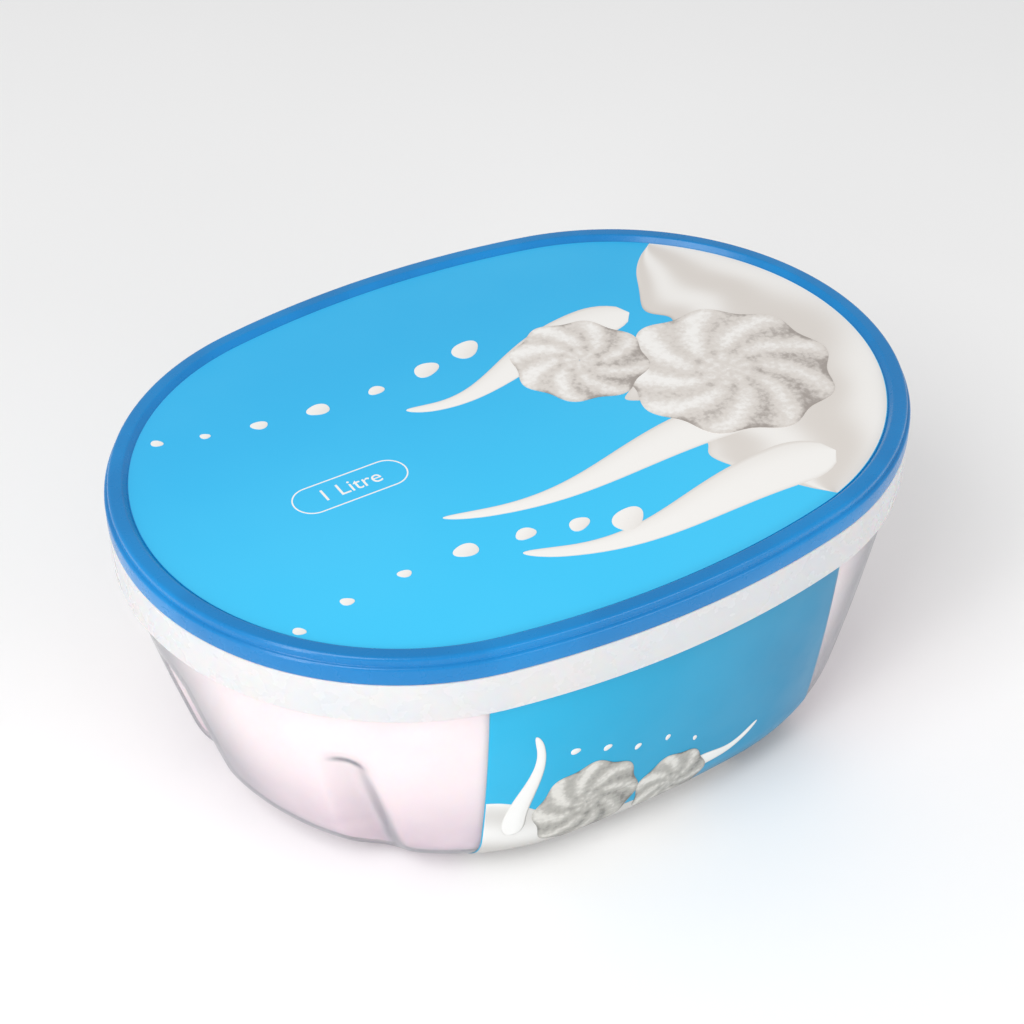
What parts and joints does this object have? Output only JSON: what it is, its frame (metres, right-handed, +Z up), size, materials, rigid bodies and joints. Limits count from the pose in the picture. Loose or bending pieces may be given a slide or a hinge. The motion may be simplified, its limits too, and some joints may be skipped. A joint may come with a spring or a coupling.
{
  "type": "ice cream tub",
  "caption": "Oval translucent plastic tub of ice cream with a tapered wall, hanging collar, grip flutes at its ends, printed side films and a press-fit lid with a sunk printed panel.",
  "frame": {"origin": "middle of the flat base, on the surface the tub stands on", "axes": "+Z up out of the lid, +X along the long axis of the oval, -Y towards the front long side"},
  "size_m": [0.18, 0.1318, 0.0717],
  "materials": {
    "tub_plastic": "clear to milky translucent moulded polypropylene, smooth",
    "ice_cream": "frozen pale cream-coloured ice cream seen through the wall",
    "lid_plastic": "blue moulded polypropylene, satin gloss",
    "print_film": "in-mould printed film, smooth, light blue ground with white cream shapes"
  },
  "bodies": {
    "root": {"tub": "tub_plastic", "ice_cream": "ice_cream", "lid": "lid_plastic", "lid_print": "print_film", "side_print_front": "print_film", "side_print_back": "print_film"}
  },
  "joints": []
}
